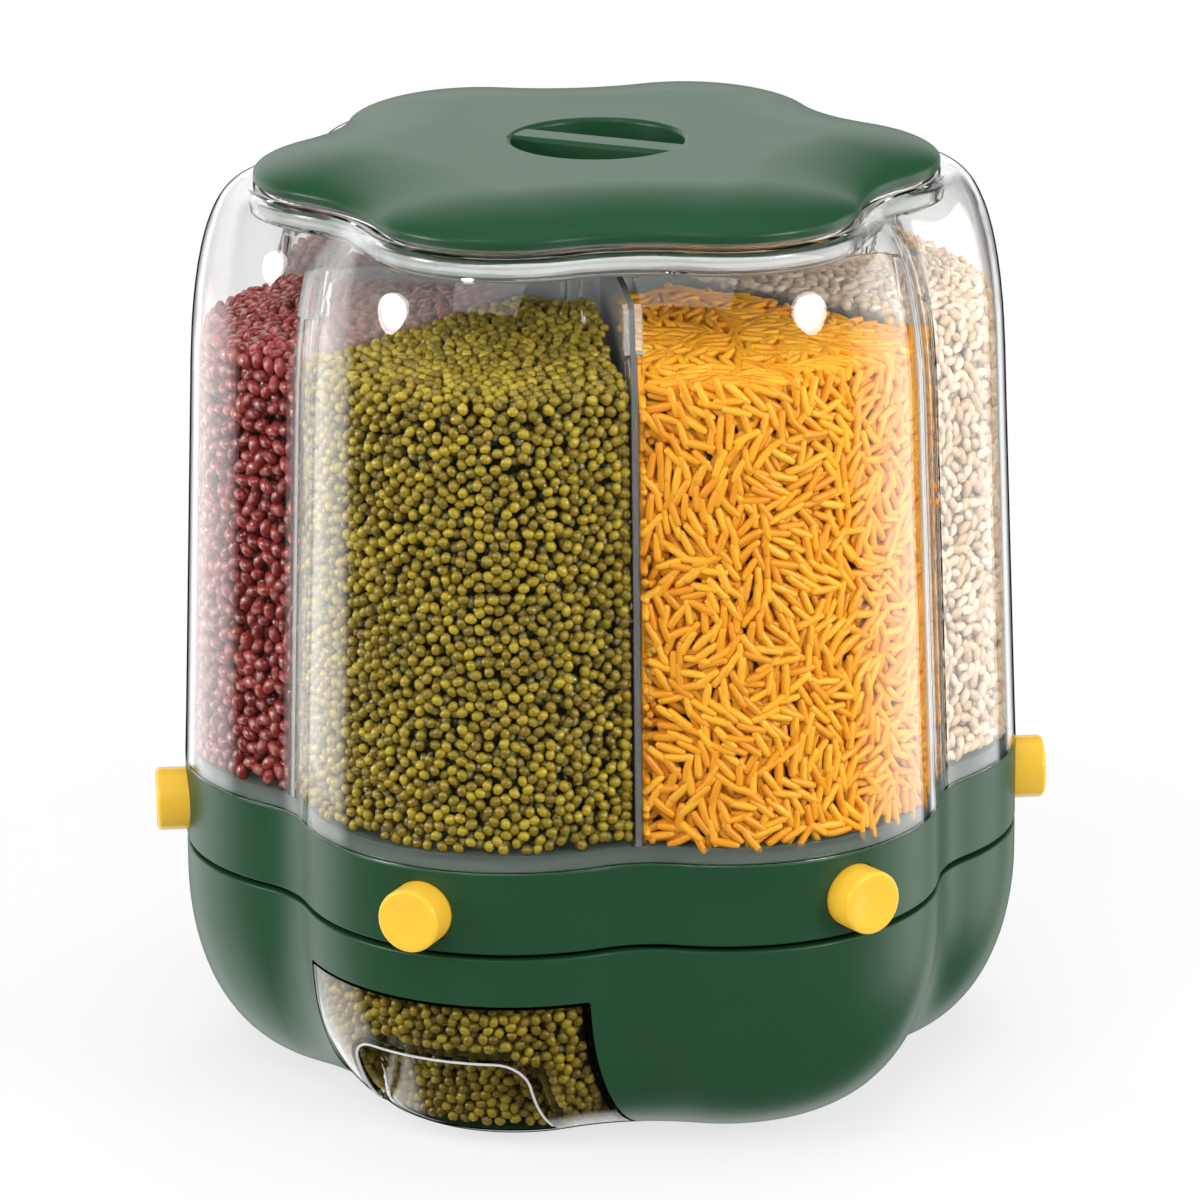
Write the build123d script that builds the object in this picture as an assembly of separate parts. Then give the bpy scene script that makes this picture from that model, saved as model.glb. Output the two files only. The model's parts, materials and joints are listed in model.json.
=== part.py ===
"""Rotating food storage container with six compartments over a turntable base.

Lengths are millimetres. +Z is up, the origin lies on the table under the turning axis and
the drawer slides out towards -Y. Pieces are drawn with the drawer lobe on +X and are turned
to the front when they are written.
"""
import math
import os

from build123d import *

# Flower outline shared by base, tray, hopper and lid
LOBES = 6
lobe_reach = 140.0          # turning axis to the tip of a lobe
lobe_radius = 71.0
valley_radius = 38.0        # hollow round between two lobes

# Clearances
slide_gap = 0.3             # pieces that slide or turn past each other
seat_gap = 0.2              # pieces set beside each other
press_gap = 0.05            # pins and screws in their bores
overrun = 5.0               # reach of a cutting shape past the face it cuts
weld = 1.0                  # overlap of shapes that are joined into one piece

# Feet
foot_radius = 7.0
foot_height = 3.0
foot_recess = 1.0
foot_reach = 82.0

# Base shell
base_height = 73.6
base_wall = 3.0
base_round_height = 64.5    # height of the rounded flank over the underside
base_round_depth = 44.3     # how far the rounded flank runs in
base_round_share = 0.6
floor_lap = 8.0             # flat floor swept with the flank
edge_round = 0.8
post_radius = 5.0
post_reach = 100.0
POST_ANGLES = (38, 90, 150, 210, 270, 322)

# Deck over the drawer
deck_drop = 5.6             # deck surface under the base rim
deck_thickness = 3.0
deck_boss_radius = 14.0
deck_boss_length = 10.0
collar_wall = 2.0
collar_margin = 2.0         # drop hole wider than a gate outlet
collar_rise_gap = 0.7       # collar rim under the turning tray

# Drawer
drawer_half_width = 49.0
drawer_head = 16.9          # drawer rim under the base rim
drawer_back = 34.0          # turning axis to the drawer's back wall
drawer_gap = 1.0
drawer_wall = 2.4
drawer_corner = 1.0         # upper corners of the drawer front
cup_round = 4.0             # floor edges inside the drawer
recess_half_width = 31.0
recess_head = 20.2          # recess ceiling under the drawer rim
recess_inset = 16.7         # lobe tip to the recess's back wall under its ceiling
recess_lean = 8.8           # how far the back wall leans in towards the drawer's underside
recess_corner = 9.0
rail_height = 8.0
rail_width = 2.5

# Spindle and bearing
seam_gap = 1.7              # between base rim and turning tray
race_depth = 0.6
ball_gap = 0.25
ball_pitch_radius = 50.0
BALLS = 16
cage_width = 13.0
cage_thickness = 2.5
spindle_radius = 5.0
spindle_flange_radius = 9.0
spindle_flange_height = 2.0
spindle_tail = 8.0          # thread under the deck boss
nut_across = 17.0
nut_height = 6.0
bush_gap = 0.08
bush_wall = 3.0
bush_flange_width = 3.0
bush_flange_height = 1.5
washer_radius = 9.5
washer_thickness = 1.5
lock_head_radius = 4.5
lock_head_height = 3.0
lock_shank_radius = 2.5
lock_shank_length = 12.0

# Turntable tray
tray_height = 27.4
tray_wall = 3.0
tray_floor = 3.0
tray_lap = 20.0             # flat floor swept with the wall
hub_wall = 4.0
hub_height = 15.0

# Push buttons, gates and springs
button_radius = 10.5
button_height = 12.7        # button axis over the tray's underside
button_reach = 10.0         # button face outside the lobe tip
button_spare = 0.5          # button face left outside at full press
button_hole_gap = 0.4
button_wall = 2.0
button_face = 3.0
button_dish = 0.8
button_dish_radius = 8.0
dish_share = 0.75           # depth left halfway up the dish
button_round = 1.4
button_flange_width = 1.5
button_flange_height = 1.8
button_depth = 6.6          # lobe tip to the button's inner end
socket_wall = 2.0
socket_depth = 9.0
stem_radius = 3.5
outlet_depth = 55.0         # lobe tip to the middle of an outlet
outlet_half_width = 18.0
gate_lap = 1.0
gate_overlap = 4.5
gate_bridge = 8.0
gate_thickness = 3.0
gate_half_width = 24.0
guide_wall = 2.0
seat_depth = 21.0           # lobe tip to the inner face of a spring seat
seat_thickness = 3.0
seat_half_width = 14.0
seat_head = 8.0
spring_wire_radius = 0.55
spring_radius = 6.9
SPRING_TURNS = 6

# Funnel plate
floor_rise = 5.2            # hopper floor over the tray rim
floor_thickness = 2.5
skirt_wall = 2.0
skirt_plug = 2.1            # skirt inside the tray wall
funnel_wall = 2.0
spout_length = 4.0
funnel_inner_reach = 26.0
funnel_inner_half_width = 9.0
funnel_outer_depth = 24.0   # lobe tip to the funnel's outer edge
funnel_outer_half_width = 40.0
boss_radius = 4.5
boss_depth = 15.0           # valley wall to the middle of a screw boss

# Screws
screw_head_radius = 3.2
screw_head_height = 2.0
screw_shank_radius = 1.5
screw_length = 11.0
screw_slot = 0.9
slot_share = 0.6

# Hopper
hopper_wall = 2.6
hopper_straight = 135.3
hopper_draft = 5.0
shoulder_height = 61.2
shoulder_share = 0.61
rim_inset = 24.6
rim_width = 4.8
neck_wall = 2.6
neck_depth = 9.2
neck_round = 0.9
rib_width = 1.4
rib_depth = 4.0

# Hub and partitions
hub_radius = 13.0
hub_tube_wall = 2.0
hub_drop = 17.0             # hub top under the hopper rim
cap_thickness = 2.5
cap_plug = 6.0
panel_thickness = 2.0
hook_width = 6.0
hook_depth = 7.0
hook_height = 14.0

# Lid
lid_inset = 27.0
lid_edge = 1.8
lid_crown_depth = 38.0
lid_crown_height = 8.7
lid_crown_share = 0.58
lid_top_share = 0.35        # smaller: the crown slopes more evenly
lid_wall = 2.4
grip_radius = 28.5
grip_depth = 9.5
grip_wall = 2.2
grip_bar_width = 12.0
grip_bar_drop = 0.5
grip_round = 1.5
liner_flange = 1.0
liner_flange_inset = 1.2    # liner flange inside the lid edge
liner_wall = 2.0
liner_upstand = 2.2
plug_depth = 11.0
seal_width = 1.5
seal_height = 5.2
seal_drop = 3.0             # seal under the hopper rim
SEAL_LIPS = 2
seal_lip_share = 0.45

# Levels
base_bottom = foot_height - foot_recess
base_floor_top = base_bottom + base_wall
base_top = base_bottom + base_height
base_round_top = base_bottom + base_round_height
deck_top = base_top - deck_drop
deck_bottom = deck_top - deck_thickness
deck_boss_bottom = deck_bottom - deck_boss_length
drawer_bottom = base_floor_top + slide_gap
drawer_top = base_top - drawer_head
recess_top = drawer_top - recess_head
tray_bottom = base_top + seam_gap
tray_floor_top = tray_bottom + tray_floor
tray_top = tray_bottom + tray_height
hub_top = tray_floor_top + hub_height
bush_top = hub_top + bush_flange_height
spindle_top = bush_top + slide_gap
button_level = tray_bottom + button_height
gate_bottom = button_level - gate_thickness / 2
gate_top = gate_bottom + gate_thickness
floor_top = tray_top + floor_rise
floor_bottom = floor_top - floor_thickness
spout_bottom = gate_top + slide_gap
spout_top = spout_bottom + spout_length
shoulder_low = tray_top + hopper_straight
rim_top = shoulder_low + shoulder_height
panel_top = rim_top - hub_drop
panel_bottom = floor_top + seat_gap
lid_bottom = rim_top + liner_flange
lid_top = lid_bottom + lid_edge + lid_crown_height

# Outline values
LOBE_STEP = 360 / LOBES
half_step = math.radians(LOBE_STEP / 2)
lobe_centre = lobe_reach - lobe_radius
valley_centre = lobe_centre * math.cos(half_step) + math.sqrt(
    (lobe_radius + valley_radius) ** 2 - (lobe_centre * math.sin(half_step)) ** 2)
valley_reach = valley_centre - valley_radius
LOBE_ANGLE = math.degrees(math.atan2(
    valley_centre * math.sin(half_step), valley_centre * math.cos(half_step) - lobe_centre))

# Reaches from the turning axis along a lobe
press_travel = button_reach - button_spare
outlet_length = press_travel - gate_lap
outlet_inner = lobe_reach - outlet_depth - outlet_length / 2
outlet_outer = outlet_inner + outlet_length
window_inner = outlet_outer + gate_lap
window_outer = window_inner + outlet_length
gate_inner = outlet_inner - gate_overlap
gate_outer = window_outer + gate_bridge
seat_inner = lobe_reach - seat_depth
seat_outer = seat_inner + seat_thickness
button_tip = lobe_reach + button_reach
button_inner = lobe_reach - button_depth
button_floor = button_tip - button_face
bush_radius = spindle_radius + bush_gap + bush_wall
hub_boss_radius = bush_radius + press_gap + hub_wall
race_radius = (tray_bottom - deck_top) / 2 + race_depth
ball_radius = race_radius - ball_gap
ball_level = (tray_bottom + deck_top) / 2
boss_reach = valley_reach - boss_depth
neck_inset = rim_inset + rim_width
plug_inset = neck_inset + slide_gap + seal_width + seat_gap
FRONT = Rot(0, 0, -90)


def outline(inset=0.0):
    """Closed flower outline set in by inset; it starts at the tip of the lobe on +X."""
    lobe = lobe_radius - inset
    valley = valley_radius + inset
    bend = LOBE_ANGLE - LOBE_STEP / 2
    middle = (valley_centre * math.cos(half_step), valley_centre * math.sin(half_step))
    arcs = [CenterArc((lobe_centre, 0), lobe, 0, LOBE_ANGLE)]
    for k in range(LOBES):
        hollow = CenterArc(middle, valley, LOBE_STEP / 2 + 180 + bend, -2 * bend)
        arcs.append(Rot(0, 0, LOBE_STEP * k) * hollow)
        if k < LOBES - 1:
            bulge = CenterArc((lobe_centre, 0), lobe, -LOBE_ANGLE, 2 * LOBE_ANGLE)
            arcs.append(Rot(0, 0, LOBE_STEP * (k + 1)) * bulge)
    arcs.append(CenterArc((lobe_centre, 0), lobe, -LOBE_ANGLE, LOBE_ANGLE))
    return Wire(arcs)


def at(inset, level):
    """Point of a wall section, set in from the lobe tip, at a level."""
    return Vector(lobe_reach - inset, 0, level)


def quarter(start, end, rise, run, share, end_share=None):
    """Quarter bend from start, leaving along rise, to end, arriving along run."""
    return Bezier(start, start + rise * share, end - run * (end_share or share), end)


def swept(section):
    """Carry a wall section once round the flower outline."""
    return sweep(section, path=outline())


def rounded(section, radius, *corners):
    """Round the corners of a flat section that lie nearest to the given points."""
    picked = [min(section.vertices(), key=lambda v: (Vector(v) - c).length) for c in corners]
    return fillet(picked, radius)


def prism(inset, low, high):
    """Flower-shaped plate between two levels."""
    return extrude(Pos(0, 0, low) * make_face(outline(inset)), high - low)


def block(x_low, x_high, half_width, low, high):
    """Box on the XZ plane."""
    middle = Pos((x_low + x_high) / 2, 0, (low + high) / 2)
    return middle * Box(x_high - x_low, 2 * half_width, high - low)


def post(radius, low, high, reach=0.0, angle=0.0):
    """Upright cylinder at a reach and angle from the turning axis."""
    place = Rot(0, 0, angle) * Pos(reach, 0, (low + high) / 2)
    return place * Cylinder(radius, high - low)


def lying(radius, x_low, x_high, level):
    """Cylinder along +X."""
    return Pos((x_low + x_high) / 2, 0, level) * Rot(0, 90, 0) * Cylinder(radius, x_high - x_low)


def around(piece):
    """Copies of a piece, one for each lobe."""
    return [Rot(0, 0, LOBE_STEP * k) * piece for k in range(LOBES)]


def rectangle(x_low, x_high, half_width, level, grow=0.0):
    """Flat rectangle across +X, grown on all sides."""
    size = (x_high - x_low + 2 * grow, 2 * (half_width + grow))
    return Pos((x_low + x_high) / 2, 0, level) * Rectangle(*size)


def screw(head_radius, head_height, shank_radius, length):
    """Pan-head screw along -Z with the underside of its head at the origin."""
    body = post(head_radius, 0, head_height) + post(shank_radius, -length, weld)
    slot = Pos(0, 0, head_height) * Box(2 * head_radius * slot_share, screw_slot, head_height)
    return body - slot - Rot(0, 0, 90) * slot


def base_fill(side, floor):
    """Space inside the base's outer face, set in by side and raised by floor."""
    core = base_round_depth + side + floor_lap
    low = base_bottom + floor
    top, bend, sole = at(side, base_top), at(side, base_round_top), at(base_round_depth + side, low)
    flank = quarter(bend, sole, Vector(0, 0, low - base_round_top),
                    Vector(-base_round_depth, 0, 0), base_round_share)
    edges = [Line(top, bend), flank, Line(sole, at(core, low)),
             Line(at(core, low), at(core, base_top)), Line(at(core, base_top), top)]
    return swept(make_face(edges)) + prism(core - weld, low, base_top)


def base_shell():
    """Bowl with an opening for the drawer, guide rails, screw posts and seats for the feet."""
    core = base_round_depth + floor_lap
    edges = []
    for side, floor in ((0, 0), (base_wall, base_wall)):
        low = base_bottom + floor
        bend, sole = at(side, base_round_top), at(base_round_depth, low)
        edges.append(Line(at(side, base_top), bend))
        edges.append(quarter(bend, sole, Vector(0, 0, low - base_round_top),
                             Vector(side - base_round_depth, 0, 0), base_round_share))
        edges.append(Line(sole, at(core, low)))
    edges.append(Line(at(core, base_bottom), at(core, base_floor_top)))
    edges.append(Line(at(0, base_top), at(base_wall, base_top)))
    section = rounded(make_face(edges), edge_round, at(0, base_top))
    shell = swept(section) + prism(core - weld, base_bottom, base_floor_top)

    fittings = [post(post_radius, base_bottom, deck_bottom, post_reach, a) for a in POST_ANGLES]
    rail_level = (base_bottom, drawer_bottom + rail_height)
    rail = block(drawer_back, lobe_reach, rail_width / 2, *rail_level)
    offset = drawer_half_width + drawer_gap + rail_width / 2
    fittings += [Pos(0, side * offset, 0) * rail for side in (-1, 1)]
    inside = base_fill(base_wall / 2, base_wall / 2)
    shell += [fitting & inside for fitting in fittings]

    opening = block(drawer_back, lobe_reach + overrun, drawer_half_width + drawer_gap,
                    base_floor_top, drawer_top + drawer_gap)
    shell -= fillet(opening.edges().filter_by(Axis.X).group_by(Axis.Z)[-1], drawer_corner)
    pilot = screw_shank_radius + press_gap
    for angle in POST_ANGLES:
        shell -= post(pilot, deck_top - screw_length - weld, deck_top, post_reach, angle)
    return shell - around(post(foot_radius + seat_gap, 0, foot_height, foot_reach))


def rubber_feet():
    """Six rubber discs."""
    disc = post(foot_radius, 0, foot_height, foot_reach)
    disc = chamfer(disc.edges().group_by(Axis.Z)[0], foot_recess / 2)
    return Compound(around(disc))


def base_deck():
    """Plate with ball race, spindle boss and the collar over the drawer."""
    deck = prism(base_wall + slide_gap, deck_bottom, deck_top)
    deck += post(deck_boss_radius, deck_boss_bottom, deck_top - weld)
    grow = collar_margin + collar_wall
    collar_low, collar_high = drawer_top + drawer_gap + slide_gap, tray_bottom - collar_rise_gap
    deck += block(outlet_inner - grow, outlet_outer + grow, outlet_half_width + grow,
                  collar_low, collar_high)
    deck -= block(outlet_inner - collar_margin, outlet_outer + collar_margin,
                  outlet_half_width + collar_margin, collar_low - overrun, collar_high + overrun)
    deck -= post(spindle_radius + press_gap, deck_boss_bottom - overrun, deck_top + overrun)
    deck -= Pos(0, 0, ball_level) * Torus(ball_pitch_radius, race_radius)
    hole = screw_shank_radius + seat_gap
    for angle in POST_ANGLES:
        deck -= post(hole, deck_bottom - overrun, deck_top + overrun, post_reach, angle)
    return deck


def deck_screws():
    """Screws that hold the deck on the posts."""
    one = screw(screw_head_radius, screw_head_height, screw_shank_radius, screw_length)
    places = [Rot(0, 0, angle) * Pos(post_reach, 0, deck_top) for angle in POST_ANGLES]
    return Compound([place * one for place in places])


def centre_spindle():
    """Flanged pin with a tapped end."""
    pin = post(spindle_radius, deck_boss_bottom - spindle_tail, spindle_top)
    pin += post(spindle_flange_radius, deck_top, deck_top + spindle_flange_height)
    bore = spindle_top - lock_shank_length - weld
    return pin - post(lock_shank_radius + press_gap, bore, spindle_top + overrun)


def spindle_nut():
    """Hexagon nut under the deck boss."""
    low = deck_boss_bottom - nut_height
    flat = Pos(0, 0, low) * RegularPolygon(nut_across / 2, 6, major_radius=False)
    bore = post(spindle_radius + press_gap, low - overrun, deck_boss_bottom + overrun)
    return extrude(flat, nut_height) - bore


def retaining_washer():
    """Washer on the spindle's end."""
    ring = post(washer_radius, spindle_top, spindle_top + washer_thickness)
    return ring - post(lock_shank_radius + seat_gap, 0, spindle_top + overrun)


def retaining_screw():
    """Screw that holds the washer."""
    place = Pos(0, 0, spindle_top + washer_thickness)
    return place * screw(lock_head_radius, lock_head_height, lock_shank_radius, lock_shank_length)


def ball_cage():
    """Flat ring that spaces the balls."""
    low, high = ball_level - cage_thickness / 2, ball_level + cage_thickness / 2
    cage = post(ball_pitch_radius + cage_width / 2, low, high)
    cage -= post(ball_pitch_radius - cage_width / 2, low - overrun, high + overrun)
    pocket = post(ball_radius + slide_gap, low - overrun, high + overrun, ball_pitch_radius)
    for k in range(BALLS):
        cage -= Rot(0, 0, 360 / BALLS * k) * pocket
    return cage


def bearing_balls():
    """Balls between deck and tray."""
    ball = Pos(ball_pitch_radius, 0, ball_level) * Sphere(ball_radius)
    return Compound([Rot(0, 0, 360 / BALLS * k) * ball for k in range(BALLS)])


def recess_back(inset):
    """Space behind the leaning back wall of the finger recess."""
    core = inset + recess_lean + floor_lap
    edges = Polyline(at(inset, base_top), at(inset, recess_top), at(inset + recess_lean, drawer_bottom),
                     at(core, drawer_bottom), at(core, base_top), close=True)
    return swept(make_face(edges)) + prism(core - weld, drawer_bottom, base_top)


def receiving_drawer():
    """Clear cup that closes flush with the base; a finger recess is moulded into its front."""
    far = lobe_reach + overrun
    hull = block(drawer_back, far, drawer_half_width, drawer_bottom, drawer_top)
    hull = fillet(hull.edges().filter_by(Axis.X).group_by(Axis.Z)[-1], drawer_corner)
    cup = hull & base_fill(0, 0)
    inner = block(drawer_back + drawer_wall, far, drawer_half_width - drawer_wall,
                  drawer_bottom + drawer_wall, drawer_top + overrun)
    inner = fillet(inner.edges().group_by(Axis.Z)[0].filter_by(Axis.X), cup_round)
    inner = inner & base_fill(drawer_wall, 0)
    recesses = []
    for grow in (drawer_wall, 0):
        mouth = block(drawer_back + drawer_wall, far, recess_half_width + grow,
                      drawer_bottom + drawer_wall - grow, recess_top + grow)
        mouth = fillet(mouth.edges().filter_by(Axis.X).group_by(Axis.Z)[-1], recess_corner + grow)
        recesses.append(mouth - recess_back(recess_inset + grow))
    return cup - (inner - recesses[0]) - recesses[1]


def turntable_tray():
    """Ring with floor; carries race, hub, chutes, gate guides and spring seats."""
    edges = Polyline(at(0, tray_bottom), at(0, tray_top), at(tray_wall, tray_top),
                     at(tray_wall, tray_floor_top), at(tray_lap, tray_floor_top),
                     at(tray_lap, tray_bottom), close=True)
    section = rounded(make_face(edges), edge_round, at(0, tray_bottom), at(0, tray_top))
    tray = swept(section) + prism(tray_lap - weld, tray_bottom, tray_floor_top)
    tray += post(hub_boss_radius, tray_bottom, hub_top)

    low = tray_floor_top - weld
    chute = block(outlet_inner - guide_wall, outlet_outer + guide_wall,
                  outlet_half_width + guide_wall, low, gate_bottom - seat_gap)
    guide = block(gate_inner - press_travel, gate_outer, guide_wall / 2, low, gate_top)
    offset = gate_half_width + slide_gap + guide_wall / 2
    guides = [Pos(0, side * offset, 0) * guide for side in (-1, 1)]
    seat = block(seat_inner, seat_outer, seat_half_width, low, button_level + seat_head)
    seat -= lying(stem_radius + slide_gap, seat_inner - overrun, seat_outer + overrun, button_level)
    for fitting in [chute, seat] + guides:
        tray += around(fitting)

    outlet = block(outlet_inner, outlet_outer, outlet_half_width,
                   tray_bottom - overrun, gate_bottom + overrun)
    hole = lying(button_radius + button_hole_gap, button_inner - press_travel - slide_gap,
                 lobe_reach + overrun, button_level)
    shank = post(screw_shank_radius + seat_gap, tray_bottom - overrun, tray_floor_top + overrun,
                 boss_reach, LOBE_STEP / 2)
    head = post(screw_head_radius + slide_gap, tray_bottom - overrun,
                tray_bottom + screw_head_height, boss_reach, LOBE_STEP / 2)
    for cutter in (outlet, hole, shank, head):
        tray -= around(cutter)
    tray -= post(bush_radius + press_gap, tray_bottom - overrun, hub_top + overrun)
    return tray - Pos(0, 0, ball_level) * Torus(ball_pitch_radius, race_radius)


def centre_bush():
    """Flanged bush in the tray hub."""
    bush = post(bush_radius, tray_bottom, bush_top)
    bush += post(bush_radius + bush_flange_width, hub_top, bush_top)
    return bush - post(spindle_radius + bush_gap, tray_bottom - overrun, bush_top + overrun)


def gate_slide():
    """Shutter plate with a window, and the stem that carries the button."""
    plate = block(gate_inner, gate_outer, gate_half_width, gate_bottom, gate_top)
    plate -= block(window_inner, window_outer, outlet_half_width,
                   gate_bottom - overrun, gate_top + overrun)
    return plate + lying(stem_radius, gate_outer - gate_bridge / 2,
                         button_floor - seat_gap, button_level)


def push_button():
    """Hollow cap with a retaining flange, a dished face and a socket for the stem."""
    bore = button_radius - button_wall
    socket = stem_radius + press_gap
    socket_end = button_floor - socket_depth

    def spot(reach, radius):
        return Vector(reach, 0, radius)

    lip, crown = spot(button_tip, button_dish_radius), spot(button_tip, button_radius)
    dish = ThreePointArc(spot(button_tip - button_dish, 0),
                         spot(button_tip - button_dish * dish_share, button_dish_radius / 2), lip)
    rest = Polyline(lip, crown, spot(button_inner, button_radius), spot(button_inner, bore),
                    spot(button_floor, bore), spot(button_floor, socket + socket_wall),
                    spot(socket_end, socket + socket_wall), spot(socket_end, socket),
                    spot(button_floor, socket), spot(button_floor, 0),
                    spot(button_tip - button_dish, 0))
    section = rounded(make_face([dish, rest]), button_round, crown)
    cap = Pos(0, 0, button_level) * revolve(section, Axis.X)
    flange = lying(button_radius + button_flange_width, button_inner,
                   button_inner + button_flange_height, button_level)
    flange -= lying(button_radius - button_wall / 2, 0, button_tip, button_level)
    return cap + (flange - block(0, button_tip, lobe_reach, 0, tray_floor_top + slide_gap))


def return_spring():
    """Coil spring between the spring seat and the button."""
    start = seat_outer + seat_gap + spring_wire_radius
    length = button_floor - seat_gap - spring_wire_radius - start
    coil = Helix(length / SPRING_TURNS, length, spring_radius,
                 center=(start, 0, button_level), direction=(1, 0, 0))
    wire = Plane(origin=coil @ 0, z_dir=coil % 0) * Circle(spring_wire_radius)
    return sweep(wire, path=coil, is_frenet=True)


def funnel_plate():
    """Hopper floor with six funnels, a skirt that joins tray and hopper, and screw bosses."""
    plug = tray_wall + slide_gap
    plate = prism(plug, floor_bottom, floor_top)
    skirt = Polyline(at(plug, tray_top - skirt_plug), at(plug, floor_top),
                     at(plug + skirt_wall, floor_top), at(plug + skirt_wall, tray_top - skirt_plug),
                     close=True)
    plate += swept(make_face(skirt))
    plate += around(post(boss_radius, tray_floor_top, floor_top - weld, boss_reach, LOBE_STEP / 2))
    for grow, level in ((funnel_wall, 0), (0, overrun)):
        top = Polyline((funnel_inner_reach - grow, funnel_inner_half_width + grow),
                       (funnel_inner_reach - grow, -funnel_inner_half_width - grow),
                       (lobe_reach - funnel_outer_depth + grow, -funnel_outer_half_width - grow),
                       (lobe_reach - funnel_outer_depth + grow, funnel_outer_half_width + grow),
                       close=True)
        mouth = Pos(0, 0, floor_top - weld * (grow > 0)) * make_face(top)
        throat = rectangle(outlet_inner, outlet_outer, outlet_half_width, spout_top, grow)
        cone = loft([throat, mouth], ruled=True)
        spout = block(outlet_inner - grow, outlet_outer + grow, outlet_half_width + grow,
                      spout_bottom - level, spout_top)
        if grow:
            plate += around(cone) + around(spout)
        else:
            plate -= around(cone) + around(spout)
    pilot_top = tray_bottom + screw_head_height + screw_length + weld
    pilot = post(screw_shank_radius + press_gap, 0, pilot_top, boss_reach, LOBE_STEP / 2)
    return plate - around(pilot)


def funnel_screws():
    """Screws from under the tray into the funnel plate."""
    one = Rot(180, 0, 0) * screw(screw_head_radius, screw_head_height, screw_shank_radius, screw_length)
    place = Rot(0, 0, LOBE_STEP / 2) * Pos(boss_reach, 0, tray_bottom + screw_head_height)
    return Compound(around(place * one))


def hopper_face(inset):
    """Upright line and shoulder curve of the hopper wall, set in from its outer face."""
    foot, bend = at(inset, tray_top), at(hopper_draft + inset, shoulder_low)
    crest = at(rim_inset, rim_top - inset)
    rise = shoulder_height - inset
    lean = Vector(-hopper_draft / hopper_straight * rise, 0, rise)
    run = Vector(inset + hopper_draft - rim_inset, 0, 0)
    return foot, crest, [Line(foot, bend), quarter(bend, crest, lean, run, shoulder_share)]


def hopper_fill(inset):
    """Space inside the hopper wall, set in from its outer face."""
    core = neck_inset + floor_lap
    foot, crest, edges = hopper_face(inset)
    ring = Polyline(crest, at(core, crest.Z), at(core, foot.Z), foot)
    return swept(make_face(edges + [ring])) + prism(core - weld, foot.Z, crest.Z)


def hopper_shell():
    """Clear six-lobed wall with shoulder, rim and neck, and guide ribs for the panels."""
    foot, crest, outer = hopper_face(0)
    inner_foot, inner_crest, inner = hopper_face(hopper_wall)
    neck_low = rim_top - neck_depth
    back = neck_inset - neck_wall
    rim = Polyline(crest, at(neck_inset, rim_top), at(neck_inset, neck_low), at(back, neck_low),
                   at(back, inner_crest.Z), inner_crest)
    section = make_face(outer + [rim] + inner + [Line(inner_foot, foot)])
    corners = at(neck_inset, rim_top), at(neck_inset, neck_low), at(back, neck_low)
    shell = swept(rounded(section, neck_round, *corners))
    sleeve = hopper_fill(hopper_wall / 2) - hopper_fill(hopper_wall + rib_depth)
    offset = panel_thickness / 2 + seat_gap + rib_width / 2
    rib_top = panel_top - hook_height - slide_gap
    for k in range(LOBES):
        for side in (-1, 1):
            slab = block(hub_radius, lobe_reach, rib_width / 2, panel_bottom, rib_top)
            slab = Rot(0, 0, LOBE_STEP * (k + 1 / 2)) * Pos(0, side * offset, 0) * slab
            shell += slab & sleeve
    return shell


def hub_column():
    """Clear centre tube."""
    tube = post(hub_radius, floor_top, panel_top)
    return tube - post(hub_radius - hub_tube_wall, floor_top - overrun, panel_top + overrun)


def hub_cap():
    """Cap plugged into the centre tube."""
    cap = post(hub_radius, panel_top, panel_top + cap_thickness)
    cap = fillet(cap.edges().group_by(Axis.Z)[-1], edge_round)
    return cap + post(hub_radius - hub_tube_wall - seat_gap, panel_top - cap_plug, panel_top + weld)


def partition():
    """Clear panel between two compartments, with a hook at its upper outer corner."""
    inside = hopper_fill(hopper_wall + slide_gap)
    panel = block(hub_radius + seat_gap, lobe_reach, panel_thickness / 2, panel_bottom, panel_top)
    hook = block(hub_radius + seat_gap, lobe_reach, hook_width / 2, panel_top - hook_height, panel_top)
    turn = Rot(0, 0, LOBE_STEP / 2)
    hook = turn * hook & (inside - hopper_fill(hopper_wall + slide_gap + hook_depth))
    return (turn * panel & inside) + hook


def lid_face(inset):
    """Edge and crown curve of the lid, set in from its outer face."""
    low, bend = at(lid_inset + inset, lid_bottom), at(lid_inset + inset, lid_bottom + lid_edge)
    crest = at(lid_inset + lid_crown_depth, lid_top - inset)
    curve = quarter(bend, crest, Vector(0, 0, lid_crown_height - inset),
                    Vector(inset - lid_crown_depth, 0, 0), lid_crown_share, lid_top_share)
    return low, crest, [Line(low, bend), curve]


def lid_cover():
    """Green cover; a round grip well with a bar across it is moulded into its top."""
    low, crest, outer = lid_face(0)
    inner_low, inner_crest, inner = lid_face(lid_wall)
    core = lid_inset + lid_crown_depth + weld
    end = Polyline(crest, at(core, lid_top), at(core, lid_top - lid_wall), inner_crest)
    cover = swept(make_face(outer + [end] + inner + [Line(inner_low, low)]))
    cover += prism(core - weld / 2, lid_top - lid_wall, lid_top)

    well_low = lid_top - grip_depth
    cover += post(grip_radius + grip_wall, well_low - grip_wall, lid_top - weld / 2)
    well = post(grip_radius, well_low, lid_top + overrun)
    well = fillet(well.edges().group_by(Axis.Z)[0], grip_round)
    cover -= well
    girth = math.tau * grip_radius
    rim = [e for e in cover.edges().group_by(Axis.Z)[-1] if abs(e.length - girth) < weld]
    cover = fillet(rim, grip_round)
    bar_height = grip_depth - grip_bar_drop
    bar = Box(grip_bar_width, 2 * grip_radius + weld, bar_height)
    bar = Pos(0, 0, well_low + bar_height / 2) * bar
    bar = fillet(bar.edges().filter_by(Axis.Y).group_by(Axis.Z)[-1], grip_round)
    return cover + bar


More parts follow.
